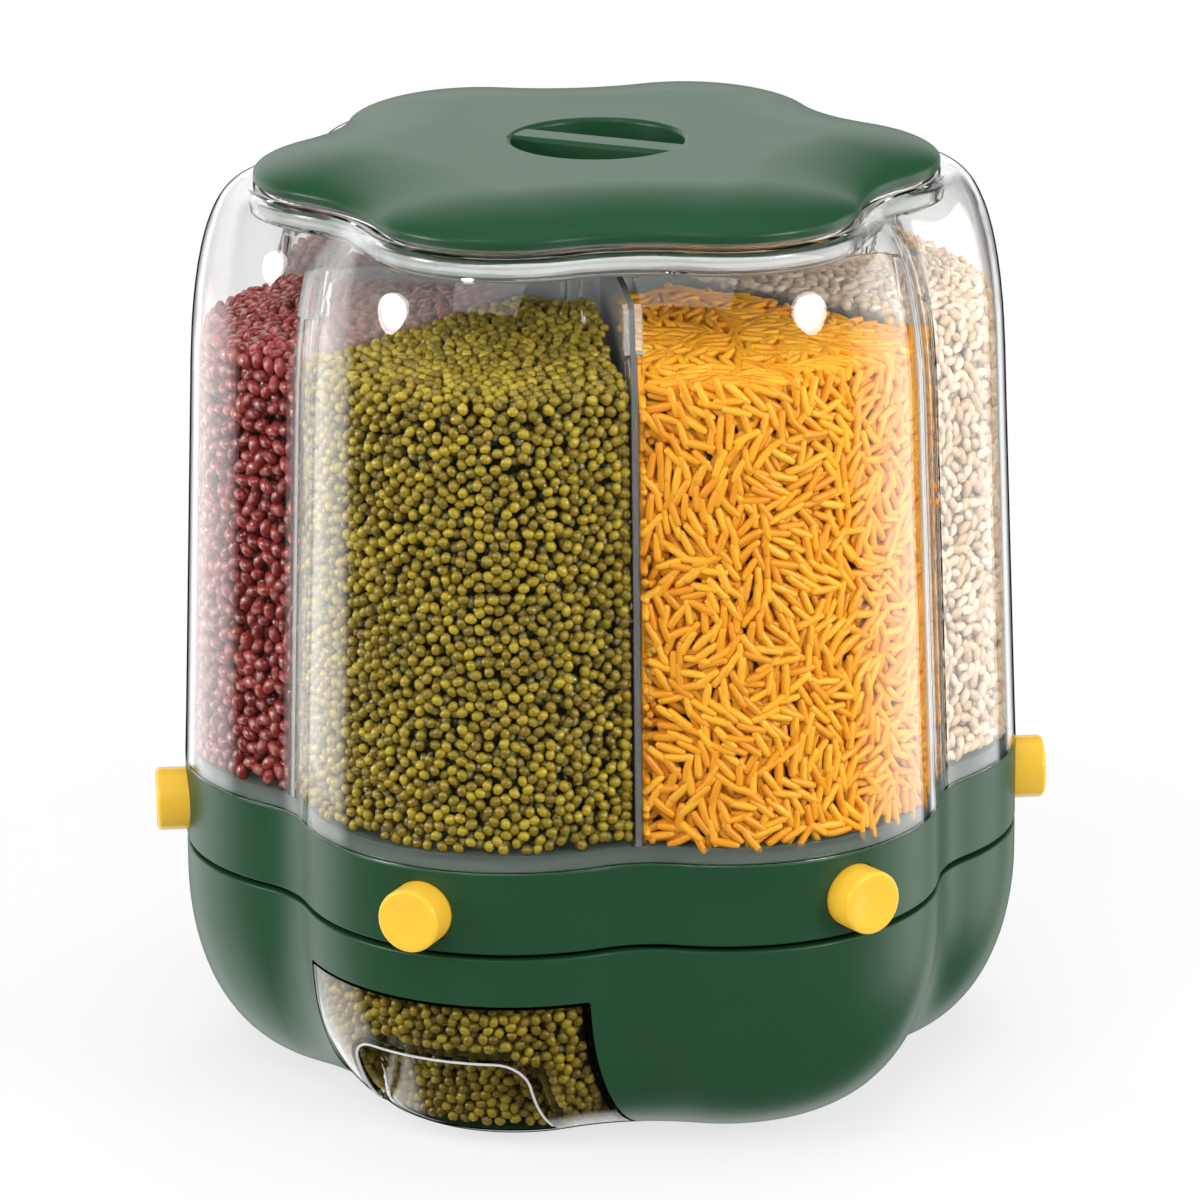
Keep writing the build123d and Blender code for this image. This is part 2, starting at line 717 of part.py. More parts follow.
def lid_liner():
    """Plug under the cover; its flange rests on the hopper rim."""
    flange = lid_inset + liner_flange_inset
    upstand = lid_inset + lid_wall + slide_gap
    low = rim_top - plug_depth
    core = plug_inset + liner_wall + floor_lap
    edges = Polyline(at(flange, rim_top), at(plug_inset, rim_top), at(plug_inset, low),
                     at(core, low), at(core, low + liner_wall),
                     at(plug_inset + liner_wall, low + liner_wall),
                     at(plug_inset + liner_wall, lid_bottom + liner_upstand),
                     at(upstand, lid_bottom + liner_upstand), at(upstand, lid_bottom),
                     at(flange, lid_bottom), close=True)
    section = rounded(make_face(edges), neck_round, at(plug_inset, low))
    return swept(section) + prism(core - weld, low, low + liner_wall)


def lid_seal():
    """Silicone ring with two lips round the plug."""
    outer, inner = neck_inset + slide_gap, neck_inset + slide_gap + seal_width
    root = outer + seal_width * seal_lip_share
    high = rim_top - seal_drop
    pitch = seal_height / SEAL_LIPS
    points = [at(inner, high)]
    for k in range(SEAL_LIPS):
        points += [at(root, high - pitch * k), at(outer, high - pitch * (k + 1 / 2))]
    points += [at(root, high - seal_height), at(inner, high - seal_height)]
    return swept(make_face(Polyline(*points, close=True)))


def save(name, piece):
    """Write one piece, turned so that the drawer faces the front."""
    export_step(FRONT * piece, f"parts/{name}.step")


os.makedirs("parts", exist_ok=True)
for maker in (base_shell, rubber_feet, base_deck, deck_screws, centre_spindle, spindle_nut,
              retaining_washer, retaining_screw, ball_cage, bearing_balls, receiving_drawer,
              turntable_tray, centre_bush, funnel_plate, funnel_screws, hopper_shell,
              hub_column, hub_cap, lid_cover, lid_liner, lid_seal):
    save(maker.__name__, maker())
for maker in (gate_slide, push_button, return_spring, partition):
    for number, copy in enumerate(around(maker()), start=1):
        save(f"{maker.__name__}_{number}", copy)
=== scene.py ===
"""Looks of the rotating food storage container: moulded plastics, clear hopper, grain and studio."""
import json
import math

import bpy
import numpy as np
from mathutils import Matrix, Vector


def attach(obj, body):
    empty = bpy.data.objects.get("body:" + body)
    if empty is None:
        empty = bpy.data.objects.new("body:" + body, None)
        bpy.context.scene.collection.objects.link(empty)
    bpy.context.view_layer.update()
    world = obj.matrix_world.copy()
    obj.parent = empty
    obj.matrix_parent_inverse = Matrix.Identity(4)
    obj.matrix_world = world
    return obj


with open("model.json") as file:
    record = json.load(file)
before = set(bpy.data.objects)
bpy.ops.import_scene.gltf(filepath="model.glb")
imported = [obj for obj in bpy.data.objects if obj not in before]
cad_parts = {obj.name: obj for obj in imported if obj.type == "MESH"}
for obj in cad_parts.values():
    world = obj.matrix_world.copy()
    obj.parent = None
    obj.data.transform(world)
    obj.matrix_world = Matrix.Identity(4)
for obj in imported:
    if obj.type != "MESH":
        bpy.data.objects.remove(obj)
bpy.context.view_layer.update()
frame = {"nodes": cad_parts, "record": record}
NODES = frame["nodes"]

# Sizes of the hopper, base and drawer in metres, as the CAD has them
LOBE_CENTRE = 0.069
LOBE_RADIUS = 0.071
VALLEY_RADIUS = 0.038
HALF_STEP = math.radians(30)
VALLEY_CENTRE = LOBE_CENTRE * math.cos(HALF_STEP) + math.sqrt(
    (LOBE_RADIUS + VALLEY_RADIUS) ** 2 - (LOBE_CENTRE * math.sin(HALF_STEP)) ** 2)
LOBE_ANGLE = math.atan2(VALLEY_CENTRE * math.sin(HALF_STEP),
                        VALLEY_CENTRE * math.cos(HALF_STEP) - LOBE_CENTRE)
TRAY_TOP = 0.1047
FLOOR_TOP = 0.1099
SHOULDER_LOW = 0.240
RIM_TOP = 0.3012
HOPPER_DRAFT = 0.005
HOPPER_WALL = 0.0026
RIM_INSET = 0.0246
SHOULDER_SHARE = 0.61
PANEL_HALF = 0.001
HUB_RADIUS = 0.013
BASE_BOTTOM = 0.002
BASE_ROUND_TOP = 0.0665
BASE_ROUND_DEPTH = 0.0443
BASE_ROUND_SHARE = 0.6
DRAWER_WALL = 0.0024
DRAWER_BOTTOM = 0.0053
DRAWER_FLOOR = 0.0077
DRAWER_FILL = 0.0572
DRAWER_HALF_WIDTH = 0.0466
DRAWER_BACK = 0.0364
RECESS_HALF_WIDTH = 0.031
RECESS_TOP = 0.0385
RECESS_INSET = 0.0167
RECESS_LEAN = 0.0088
RECESS_CORNER = 0.009
RECESS_EDGE_LOW = 0.0105
EDGE_RADIUS = 0.0005
EDGE_SINK = 0.0004

# Camera of the photograph
CAMERA_AZIMUTH = 24.58
CAMERA_ELEVATION = 17.35
CAMERA_ROLL = math.radians(-0.40)
CAMERA_DISTANCE = 2.2475
CAMERA_LENS = 201.6
CAMERA_SENSOR = 36.0
CAMERA_TARGET_SIDE = -0.00022
CAMERA_TARGET_HEIGHT = 0.15426


# Shader helpers
def socket_in(group, name, kind, value=None):
    """Add an input to a node group, with its starting value."""
    socket = group.interface.new_socket(name, in_out="INPUT", socket_type=kind)
    if value is not None:
        socket.default_value = value
    return socket


def moulding_group():
    """Fine texture of moulded plastic: uneven gloss, faint cloudiness and a low grain height."""
    group = bpy.data.node_groups.new("moulding", "ShaderNodeTree")
    socket_in(group, "Vector", "NodeSocketVector")
    socket_in(group, "Grain Scale", "NodeSocketFloat", 2500.0)
    socket_in(group, "Cloud Scale", "NodeSocketFloat", 14.0)
    socket_in(group, "Roughness", "NodeSocketFloat", 0.35)
    socket_in(group, "Roughness Spread", "NodeSocketFloat", 0.05)
    socket_in(group, "Color", "NodeSocketColor", (0.5, 0.5, 0.5, 1))
    socket_in(group, "Cloud Color", "NodeSocketColor", (0.5, 0.5, 0.5, 1))
    results = {"Color": "NodeSocketColor", "Roughness": "NodeSocketFloat", "Height": "NodeSocketFloat"}
    for name, kind in results.items():
        group.interface.new_socket(name, in_out="OUTPUT", socket_type=kind)
    nodes, links = group.nodes, group.links
    source, result = nodes.new("NodeGroupInput"), nodes.new("NodeGroupOutput")
    grain, cloud = nodes.new("ShaderNodeTexNoise"), nodes.new("ShaderNodeTexNoise")
    grain.inputs["Detail"].default_value = 2.0
    cloud.inputs["Detail"].default_value = 3.0
    for texture, scale in ((grain, "Grain Scale"), (cloud, "Cloud Scale")):
        links.new(source.outputs["Vector"], texture.inputs["Vector"])
        links.new(source.outputs[scale], texture.inputs["Scale"])
    links.new(grain.outputs["Fac"], result.inputs["Height"])
    tint = nodes.new("ShaderNodeMix")
    tint.data_type = "RGBA"
    links.new(cloud.outputs["Fac"], tint.inputs["Factor"])
    links.new(source.outputs["Color"], tint.inputs["A"])
    links.new(source.outputs["Cloud Color"], tint.inputs["B"])
    links.new(tint.outputs["Result"], result.inputs["Color"])
    centred = nodes.new("ShaderNodeMath")
    centred.operation = "SUBTRACT"
    centred.inputs[1].default_value = 0.5
    links.new(cloud.outputs["Fac"], centred.inputs[0])
    spread = nodes.new("ShaderNodeMath")
    spread.operation = "MULTIPLY_ADD"
    links.new(centred.outputs[0], spread.inputs[0])
    links.new(source.outputs["Roughness Spread"], spread.inputs[1])
    links.new(source.outputs["Roughness"], spread.inputs[2])
    links.new(spread.outputs[0], result.inputs["Roughness"])
    return group


MOULDING = moulding_group()


def new_material(name):
    """Material with a lone Principled shader; returns material, nodes, links and shader."""
    material = bpy.data.materials.new(name)
    material.use_nodes = True
    nodes, links = material.node_tree.nodes, material.node_tree.links
    return material, nodes, links, nodes["Principled BSDF"]


def moulded(name, colour, cloud_colour, roughness, spread=0.06, grain_scale=2500.0, bump=0.06,
            cloud_scale=14.0):
    """Moulded plastic with the shared moulding texture."""
    material, nodes, links, shader = new_material(name)
    place, texture = nodes.new("ShaderNodeTexCoord"), nodes.new("ShaderNodeGroup")
    height = nodes.new("ShaderNodeBump")
    texture.node_tree = MOULDING
    texture.inputs["Grain Scale"].default_value = grain_scale
    texture.inputs["Cloud Scale"].default_value = cloud_scale
    texture.inputs["Roughness"].default_value = roughness
    texture.inputs["Roughness Spread"].default_value = spread
    texture.inputs["Color"].default_value = (*colour, 1)
    texture.inputs["Cloud Color"].default_value = (*cloud_colour, 1)
    height.inputs["Strength"].default_value = bump
    height.inputs["Distance"].default_value = 0.0002
    links.new(place.outputs["Object"], texture.inputs["Vector"])
    links.new(texture.outputs["Color"], shader.inputs["Base Color"])
    links.new(texture.outputs["Roughness"], shader.inputs["Roughness"])
    links.new(texture.outputs["Height"], height.inputs["Height"])
    links.new(height.outputs["Normal"], shader.inputs["Normal"])
    return material


def clear(name, face_colour, edge_shade_colour, edge_shade_start, roughness, clearness=1.0):
    """Clear plastic with painted edge shade, its colour darkening where it is seen edge on, that lets lamp
    light through.
    """
    material, nodes, links, shader = new_material(name)
    shader.inputs["Roughness"].default_value = roughness
    shader.inputs["IOR"].default_value = 1.49
    shader.inputs["Transmission Weight"].default_value = clearness
    # Painted edge shade: Layer Weight darkens the base colour towards edge-on views, standing in for the
    # darker edges that reflection and absorption give clear plastic.
    weight, ramp = nodes.new("ShaderNodeLayerWeight"), nodes.new("ShaderNodeValToRGB")
    weight.inputs["Blend"].default_value = 0.5
    ramp.color_ramp.elements[0].position = edge_shade_start
    ramp.color_ramp.elements[0].color = (*face_colour, 1)
    ramp.color_ramp.elements[1].position = 1.0
    ramp.color_ramp.elements[1].color = (*edge_shade_colour, 1)
    links.new(weight.outputs["Facing"], ramp.inputs["Fac"])
    links.new(ramp.outputs["Color"], shader.inputs["Base Color"])
    path, through = nodes.new("ShaderNodeLightPath"), nodes.new("ShaderNodeBsdfTransparent")
    mix = nodes.new("ShaderNodeMixShader")
    through.inputs["Color"].default_value = (0.95, 0.96, 0.96, 1)
    links.new(path.outputs["Is Shadow Ray"], mix.inputs["Fac"])
    links.new(shader.outputs["BSDF"], mix.inputs[1])
    links.new(through.outputs["BSDF"], mix.inputs[2])
    links.new(mix.outputs["Shader"], nodes["Material Output"].inputs["Surface"])
    return material


GREEN = moulded("green_plastic", (0.0125, 0.064, 0.0245), (0.0165, 0.076, 0.031), 0.36)
YELLOW = moulded("yellow_plastic", (1.0, 0.58, 0.045), (1.0, 0.62, 0.055), 0.26,
                 grain_scale=1800.0, bump=0.03, cloud_scale=40.0)
WHITE = moulded("white_plastic", (0.78, 0.78, 0.75), (0.84, 0.84, 0.81), 0.42)
GREY = moulded("grey_plastic", (0.17, 0.175, 0.165), (0.21, 0.215, 0.205), 0.4)
STEEL = moulded("steel", (0.52, 0.52, 0.53), (0.6, 0.6, 0.61), 0.28, grain_scale=900.0, cloud_scale=60.0)
STEEL.node_tree.nodes["Principled BSDF"].inputs["Metallic"].default_value = 1.0
RUBBER = moulded("rubber", (0.025, 0.025, 0.025), (0.035, 0.035, 0.035), 0.8, bump=0.3)
SILICONE = moulded("silicone", (0.5, 0.5, 0.48), (0.56, 0.56, 0.54), 0.45)
CLEAR = clear("clear_plastic", (0.985, 0.99, 0.988), (0.16, 0.15, 0.16), 0.72, 0.015)
PANEL = clear("clear_panel", (0.985, 0.99, 0.988), (0.62, 0.58, 0.55), 0.72, 0.015, 0.9)
FROSTED = clear("frosted_plastic", (0.38, 0.45, 0.39), (0.16, 0.15, 0.16), 0.72, 0.35, 0.85)
# The drawer's plastic is tinted grey as painted shade: it darkens the drawer's beans, which are in shade.
DRAWER_SHADE_TINT = clear("smoked_clear", (0.87, 0.86, 0.84), (0.16, 0.15, 0.16), 0.72, 0.015)
# Pale, half-clear finish of the recess edge bead: partly a rounded edge that catches the lamps, partly a
# painted highlight line.
PALE_EDGE_HIGHLIGHT = clear("clear_edge", (0.9, 0.9, 0.88), (0.6, 0.58, 0.55), 0.72, 0.1, 0.5)
FINISHES = {"green_plastic": GREEN, "yellow_plastic": YELLOW, "white_plastic": WHITE, "grey_plastic": GREY,
            "steel": STEEL, "rubber": RUBBER, "silicone": SILICONE, "clear_plastic": CLEAR}
OWN_FINISH = {"funnel_plate": FROSTED, "receiving_drawer": DRAWER_SHADE_TINT, "hub_column": PANEL, "hub_cap": PANEL}
OWN_FINISH.update({f"partition_{number}": PANEL for number in range(1, 7)})
for part in frame["record"]["subparts"]:
    mesh = NODES[part["node"]].data
    mesh.materials.clear()
    mesh.materials.append(OWN_FINISH.get(part["node"], FINISHES[part["material_slot"]]))


# Hopper geometry
def bend_points(start, lean, end, run, share, count):
    """Quarter bend from start, leaving along lean, to end, arriving along run."""
    start, lean, end, run = (np.array(v) for v in (start, lean, end, run))
    p = [start, start + lean * share, end - run * share, end]
    t = np.linspace(0, 1, count)[:, None]
    return (1 - t) ** 3 * p[0] + 3 * (1 - t) ** 2 * t * p[1] + 3 * (1 - t) * t ** 2 * p[2] + t ** 3 * p[3]


RISE = RIM_TOP - SHOULDER_LOW
SHOULDER = bend_points((HOPPER_DRAFT, SHOULDER_LOW), (HOPPER_DRAFT / (SHOULDER_LOW - TRAY_TOP) * RISE, RISE),
                       (RIM_INSET, RIM_TOP), (RIM_INSET - HOPPER_DRAFT, 0), SHOULDER_SHARE, 120)
FLANK = bend_points((0, BASE_ROUND_TOP), (0, BASE_BOTTOM - BASE_ROUND_TOP),
                    (BASE_ROUND_DEPTH, BASE_BOTTOM), (BASE_ROUND_DEPTH, 0), BASE_ROUND_SHARE, 120)


def hopper_inset(height):
    """Inset of the hopper's outer face at a height."""
    heights = np.concatenate([[TRAY_TOP], SHOULDER[:, 1]])
    insets = np.concatenate([[0.0], SHOULDER[:, 0]])
    return float(np.interp(height, heights, insets))


def base_inset(height):
    """Inset of the base's outer face at a height."""
    return float(np.interp(height, FLANK[::-1, 1], FLANK[::-1, 0]))


def lobe_edge(inset, count=160):
    """Outline of one lobe on +X from valley to valley, set in by inset."""
    lobe, valley = LOBE_RADIUS - inset, VALLEY_RADIUS + inset
    bulge = [(LOBE_CENTRE + lobe * math.cos(a), lobe * math.sin(a))
             for a in np.linspace(-LOBE_ANGLE, LOBE_ANGLE, count)]
    middle = (VALLEY_CENTRE * math.cos(HALF_STEP), VALLEY_CENTRE * math.sin(HALF_STEP))
    hollow = [(middle[0] + valley * math.cos(a), middle[1] + valley * math.sin(a))
              for a in np.linspace(math.pi + LOBE_ANGLE, math.pi + HALF_STEP, count // 4)]
    mirrored = [(x, -y) for x, y in reversed(hollow)]
    return np.array(mirrored[:-1] + bulge + hollow[1:])


def resample(points, count):
    """Even points along a polyline, ends included."""
    steps = np.concatenate([[0], np.cumsum(np.linalg.norm(np.diff(points, axis=0), axis=1))])
    at = np.linspace(0, steps[-1], count)
    return np.stack([np.interp(at, steps, points[:, k]) for k in range(2)], axis=1)


ARC_POINTS, SIDE_POINTS, HUB_POINTS = 48, 16, 6
HEAP, HUB_RISE = 0.003, 0.008
ROOT_SHARE, FLOOR_SHARE = 2.2, 0.8


def bed_ring(inset, gap):
    """Closed plan of one compartment's grain, gap away from panels and hub."""
    edge = lobe_edge(inset)
    room = edge[:, 0] * math.sin(HALF_STEP) - np.abs(edge[:, 1]) * math.cos(HALF_STEP)
    arc = resample(edge[room >= PANEL_HALF + gap], ARC_POINTS)
    along = np.array([math.cos(HALF_STEP), math.sin(HALF_STEP)])
    across = np.array([math.sin(HALF_STEP), -math.cos(HALF_STEP)]) * (PANEL_HALF + gap)
    root = along * (HUB_RADIUS + gap) * ROOT_SHARE + across
    right = resample(np.array([arc[-1], root]), SIDE_POINTS + 1)[1:]
    hub = resample(np.array([root, root * (1, -1)]), HUB_POINTS)[1:-1]
    left = (right * (1, -1))[::-1]
    return np.concatenate([arc, right, hub, left])


def turned(points, lobe):
    """Turn plan points from +X to a lobe's own direction; lobe 1 faces the drawer."""
    angle = math.radians(-90 + 60 * (lobe - 1))
    c, s = math.cos(angle), math.sin(angle)
    return points @ np.array([[c, s], [-s, c]])


def marked_mesh(name, vertices, faces, shown):
    """Mesh whose face attribute shown marks the faces that carry grain."""
    mesh = bpy.data.meshes.new(name)
    mesh.from_pydata([tuple(v) for v in vertices], [], faces)
    mesh.attributes.new("shown", "BOOLEAN", "FACE").data.foreach_set("value", shown)
    return mesh


def hopper_bed(name, lobe, gap, level, rows=22, rings=9):
    """Closed body of grain in one compartment, heaped up and rising towards the hub."""
    low = FLOOR_TOP + FLOOR_SHARE * gap
    count = ARC_POINTS + 2 * SIDE_POINTS + HUB_POINTS - 2
    top = bed_ring(hopper_inset(level) + HOPPER_WALL + gap, gap)
    middle = top.mean(axis=0)
    vertices, faces, shown = [], [], []

    def add_ring(plan, heights):
        vertices.extend((x, y, height) for (x, y), height in zip(turned(plan, lobe), heights))

    def rise(plan):
        return HUB_RISE * np.interp(plan[:, 0], [top[:, 0].min(), top[ARC_POINTS - 1, 0]], [1, 0])

    for height in np.linspace(low, level, rows):
        plan = bed_ring(hopper_inset(height) + HOPPER_WALL + gap, gap)
        add_ring(plan, height + rise(plan) * (height - low) / (level - low))
    for share in np.linspace(1, 0, rings + 1)[1:-1]:
        plan = middle + (top - middle) * share
        add_ring(plan, level + HEAP * (1 - share ** 2) + rise(plan))
    for row in range(rows + rings - 2):
        for k in range(count):
            a, b = row * count + k, row * count + (k + 1) % count
            faces.append((a, b, b + count, a + count))
            shown.append(row >= rows - 1 or k < ARC_POINTS + 3 or k > count - 4)
    tip, start = len(vertices), (rows + rings - 2) * count
    add_ring(middle[None, :], level + HEAP + rise(middle[None, :]))
    faces += [(start + k, start + (k + 1) % count, tip) for k in range(count)]
    faces.append(tuple(reversed(range(count))))
    return marked_mesh(name, vertices, faces, shown + [True] * count + [False])


def drawer_bed(name, gap, columns=41, rows=24):
    """Closed body of grain in the drawer, hollowed where the finger recess is."""
    wide = DRAWER_HALF_WIDTH - gap
    low, high = DRAWER_FLOOR + gap, DRAWER_FILL - gap
    vertices, faces, shown = [], [], []
    for height in np.linspace(low, high, rows):
        lean = RECESS_LEAN * max(0.0, RECESS_TOP - height) / (RECESS_TOP - DRAWER_BOTTOM)
        skin = base_inset(height)
        outer = lobe_edge(skin + DRAWER_WALL + gap)
        inner = lobe_edge(max(skin, RECESS_INSET + lean) + DRAWER_WALL + gap)
        corner = max(0.0, height - (RECESS_TOP - RECESS_CORNER)) / RECESS_CORNER
        mouth = RECESS_HALF_WIDTH - RECESS_CORNER * (1 - math.sqrt(max(0.0, 1 - corner ** 2)))
        mouth = mouth + DRAWER_WALL + gap if height < RECESS_TOP + DRAWER_WALL + gap else -1.0
        for side in np.linspace(-wide, wide, columns):
            edge = inner if abs(side) < mouth else outer
            vertices.append((np.interp(side, edge[:, 1], edge[:, 0]), side, height))
    for row in range(rows - 1):
        for k in range(columns - 1):
            a = row * columns + k
            faces.append((a, a + 1, a + 1 + columns, a + columns))
            shown.append(True)
    front = len(vertices)
    for height in (low, high):
        vertices += [(DRAWER_BACK + gap, side, height) for side in np.linspace(-wide, wide, columns)]
    top, back_low, back_high = (rows - 1) * columns, front, front + columns
    for k in range(columns - 1):
        faces.append((top + k, top + k + 1, back_high + k + 1, back_high + k))
        shown.append(True)
        faces.append((back_low + k + 1, back_low + k, back_high + k, back_high + k + 1))
        shown.append(False)
        faces.append((k + 1, k, back_low + k, back_low + k + 1))
        shown.append(False)
    for k, flip in ((0, False), (columns - 1, True)):
        rim = [row * columns + k for row in range(rows)] + [back_high + k, back_low + k]
        faces.append(tuple(rim if flip else reversed(rim)))
        shown.append(False)
    plan = np.array(vertices)
    plan[:, :2] = turned(plan[:, :2], 1)
    return marked_mesh(name, plan, faces, shown)


# Grain shapes, each a small closed mesh with its long side on X
def seed_mesh(name, size, sides, rings, bend=0.0, blunt=1.0, eye=0.0, deep=0.0):
    """Bean or grain of a few dozen faces, bent in its plane, with a pale eye on one flank."""
    length, width, thick = size
    vertices, faces = [(-length / 2, bend * 0.6, 0)], []
    for ring in range(1, rings):
        turn = math.pi * ring / rings
        x, girth = -math.cos(turn), math.sin(turn) ** blunt
        for side in range(sides):
            a = 2 * math.pi * side / sides
            vertices.append((x * length / 2, girth * math.cos(a) * width / 2 + bend * (x * x - 0.4),
                             girth * math.sin(a) * thick / 2))
    vertices.append((length / 2, bend * 0.6, 0))
    last = 1 + (rings - 2) * sides
    for side in range(sides):
        after = (side + 1) % sides
        faces.append((0, 1 + after, 1 + side))
        faces.append((len(vertices) - 1, last + side, last + after))
        for ring in range(rings - 2):
            a = 1 + ring * sides
            faces.append((a + side, a + after, a + sides + after, a + sides + side))
    mesh = bpy.data.meshes.new(name)
    mesh.from_pydata(vertices, [], faces)
    spot = Vector((0, bend * -0.4, thick / 2))
    pale = [max(0.0, 1 - (Vector(v) - spot).length / eye) if eye else 0.0 for v in vertices]
    mesh.attributes.new("eye", "FLOAT", "POINT").data.foreach_set("value", pale)
    # The grain's painted shade, how much its layer's colour is darkened, rides on the mesh as an attribute.
    mesh.attributes.new("deep", "FLOAT", "POINT").data.foreach_set("value", [deep] * len(vertices))
    return mesh


def seed_coat(name, colours, eye_colour, roughness, gloss=0.5):
    """Seed coat whose colour changes from grain to grain, with a pale eye and painted shade that darkens the
    inner layers.
    """
    material, nodes, links, shader = new_material(name)
    tone, eye = nodes.new("ShaderNodeAttribute"), nodes.new("ShaderNodeAttribute")
    tone.attribute_name, eye.attribute_name = "tone", "eye"
    ramp = nodes.new("ShaderNodeValToRGB")
    while len(ramp.color_ramp.elements) < len(colours):
        ramp.color_ramp.elements.new(0.5)
    for k, colour in enumerate(colours):
        ramp.color_ramp.elements[k].position = k / (len(colours) - 1)
        ramp.color_ramp.elements[k].color = (*colour, 1)
    links.new(tone.outputs["Fac"], ramp.inputs["Fac"])
    mix = nodes.new("ShaderNodeMix")
    mix.data_type = "RGBA"
    mix.inputs["B"].default_value = (*eye_colour, 1)
    links.new(eye.outputs["Fac"], mix.inputs["Factor"])
    links.new(ramp.outputs["Color"], mix.inputs["A"])
    # Painted shade: the layer's attribute darkens the coat towards black.
    deep, painted_shade_mix = nodes.new("ShaderNodeAttribute"), nodes.new("ShaderNodeMix")
    deep.attribute_name = "deep"
    painted_shade_mix.data_type, painted_shade_mix.blend_type = "RGBA", "MULTIPLY"
    painted_shade_mix.inputs["B"].default_value = (0, 0, 0, 1)
    links.new(deep.outputs["Fac"], painted_shade_mix.inputs["Factor"])
    links.new(mix.outputs["Result"], painted_shade_mix.inputs["A"])
    links.new(painted_shade_mix.outputs["Result"], shader.inputs["Base Color"])
    shader.inputs["Roughness"].default_value = roughness
    shader.inputs["Specular IOR Level"].default_value = gloss
    return material


def shaded_core_finish(name, colour, share):
    """Fill behind the outer layers of grain, painted darker than they are as shade."""
    return moulded(name, tuple(0.6 * share * c for c in colour), tuple(share * c for c in colour), 0.9,
                   grain_scale=300.0, cloud_scale=250.0)


def open_tree(name, sockets):
    """New Geometry Nodes tree; returns it, the identifiers of its inputs and its input node."""
    tree = bpy.data.node_groups.new(name, "GeometryNodeTree")
    ids = {key: tree.interface.new_socket(key, in_out="INPUT", socket_type=kind).identifier
           for key, kind in sockets.items()}
    tree.interface.new_socket("Geometry", in_out="OUTPUT", socket_type="NodeSocketGeometry")
    return tree, ids, tree.nodes.new("NodeGroupInput")


def close_tree(tree, source, last):
    """End a tree in real geometry with smooth shading and the material of its input."""
    for kind in ("RealizeInstances", "SetShadeSmooth", "SetMaterial"):
        step = tree.nodes.new("GeometryNode" + kind)
        tree.links.new(last, step.inputs["Geometry"])
        last = step.outputs["Geometry"]
    tree.links.new(source.outputs["Material"], step.inputs["Material"])
    tree.links.new(last, tree.nodes.new("NodeGroupOutput").inputs["Geometry"])


# Grains per square metre at most, and how the lie of long grains drifts from place to place
MOST_GRAINS = 1.0e6
DRIFT_SCALE, DRIFT_TURN = 42.0, 4 * math.pi


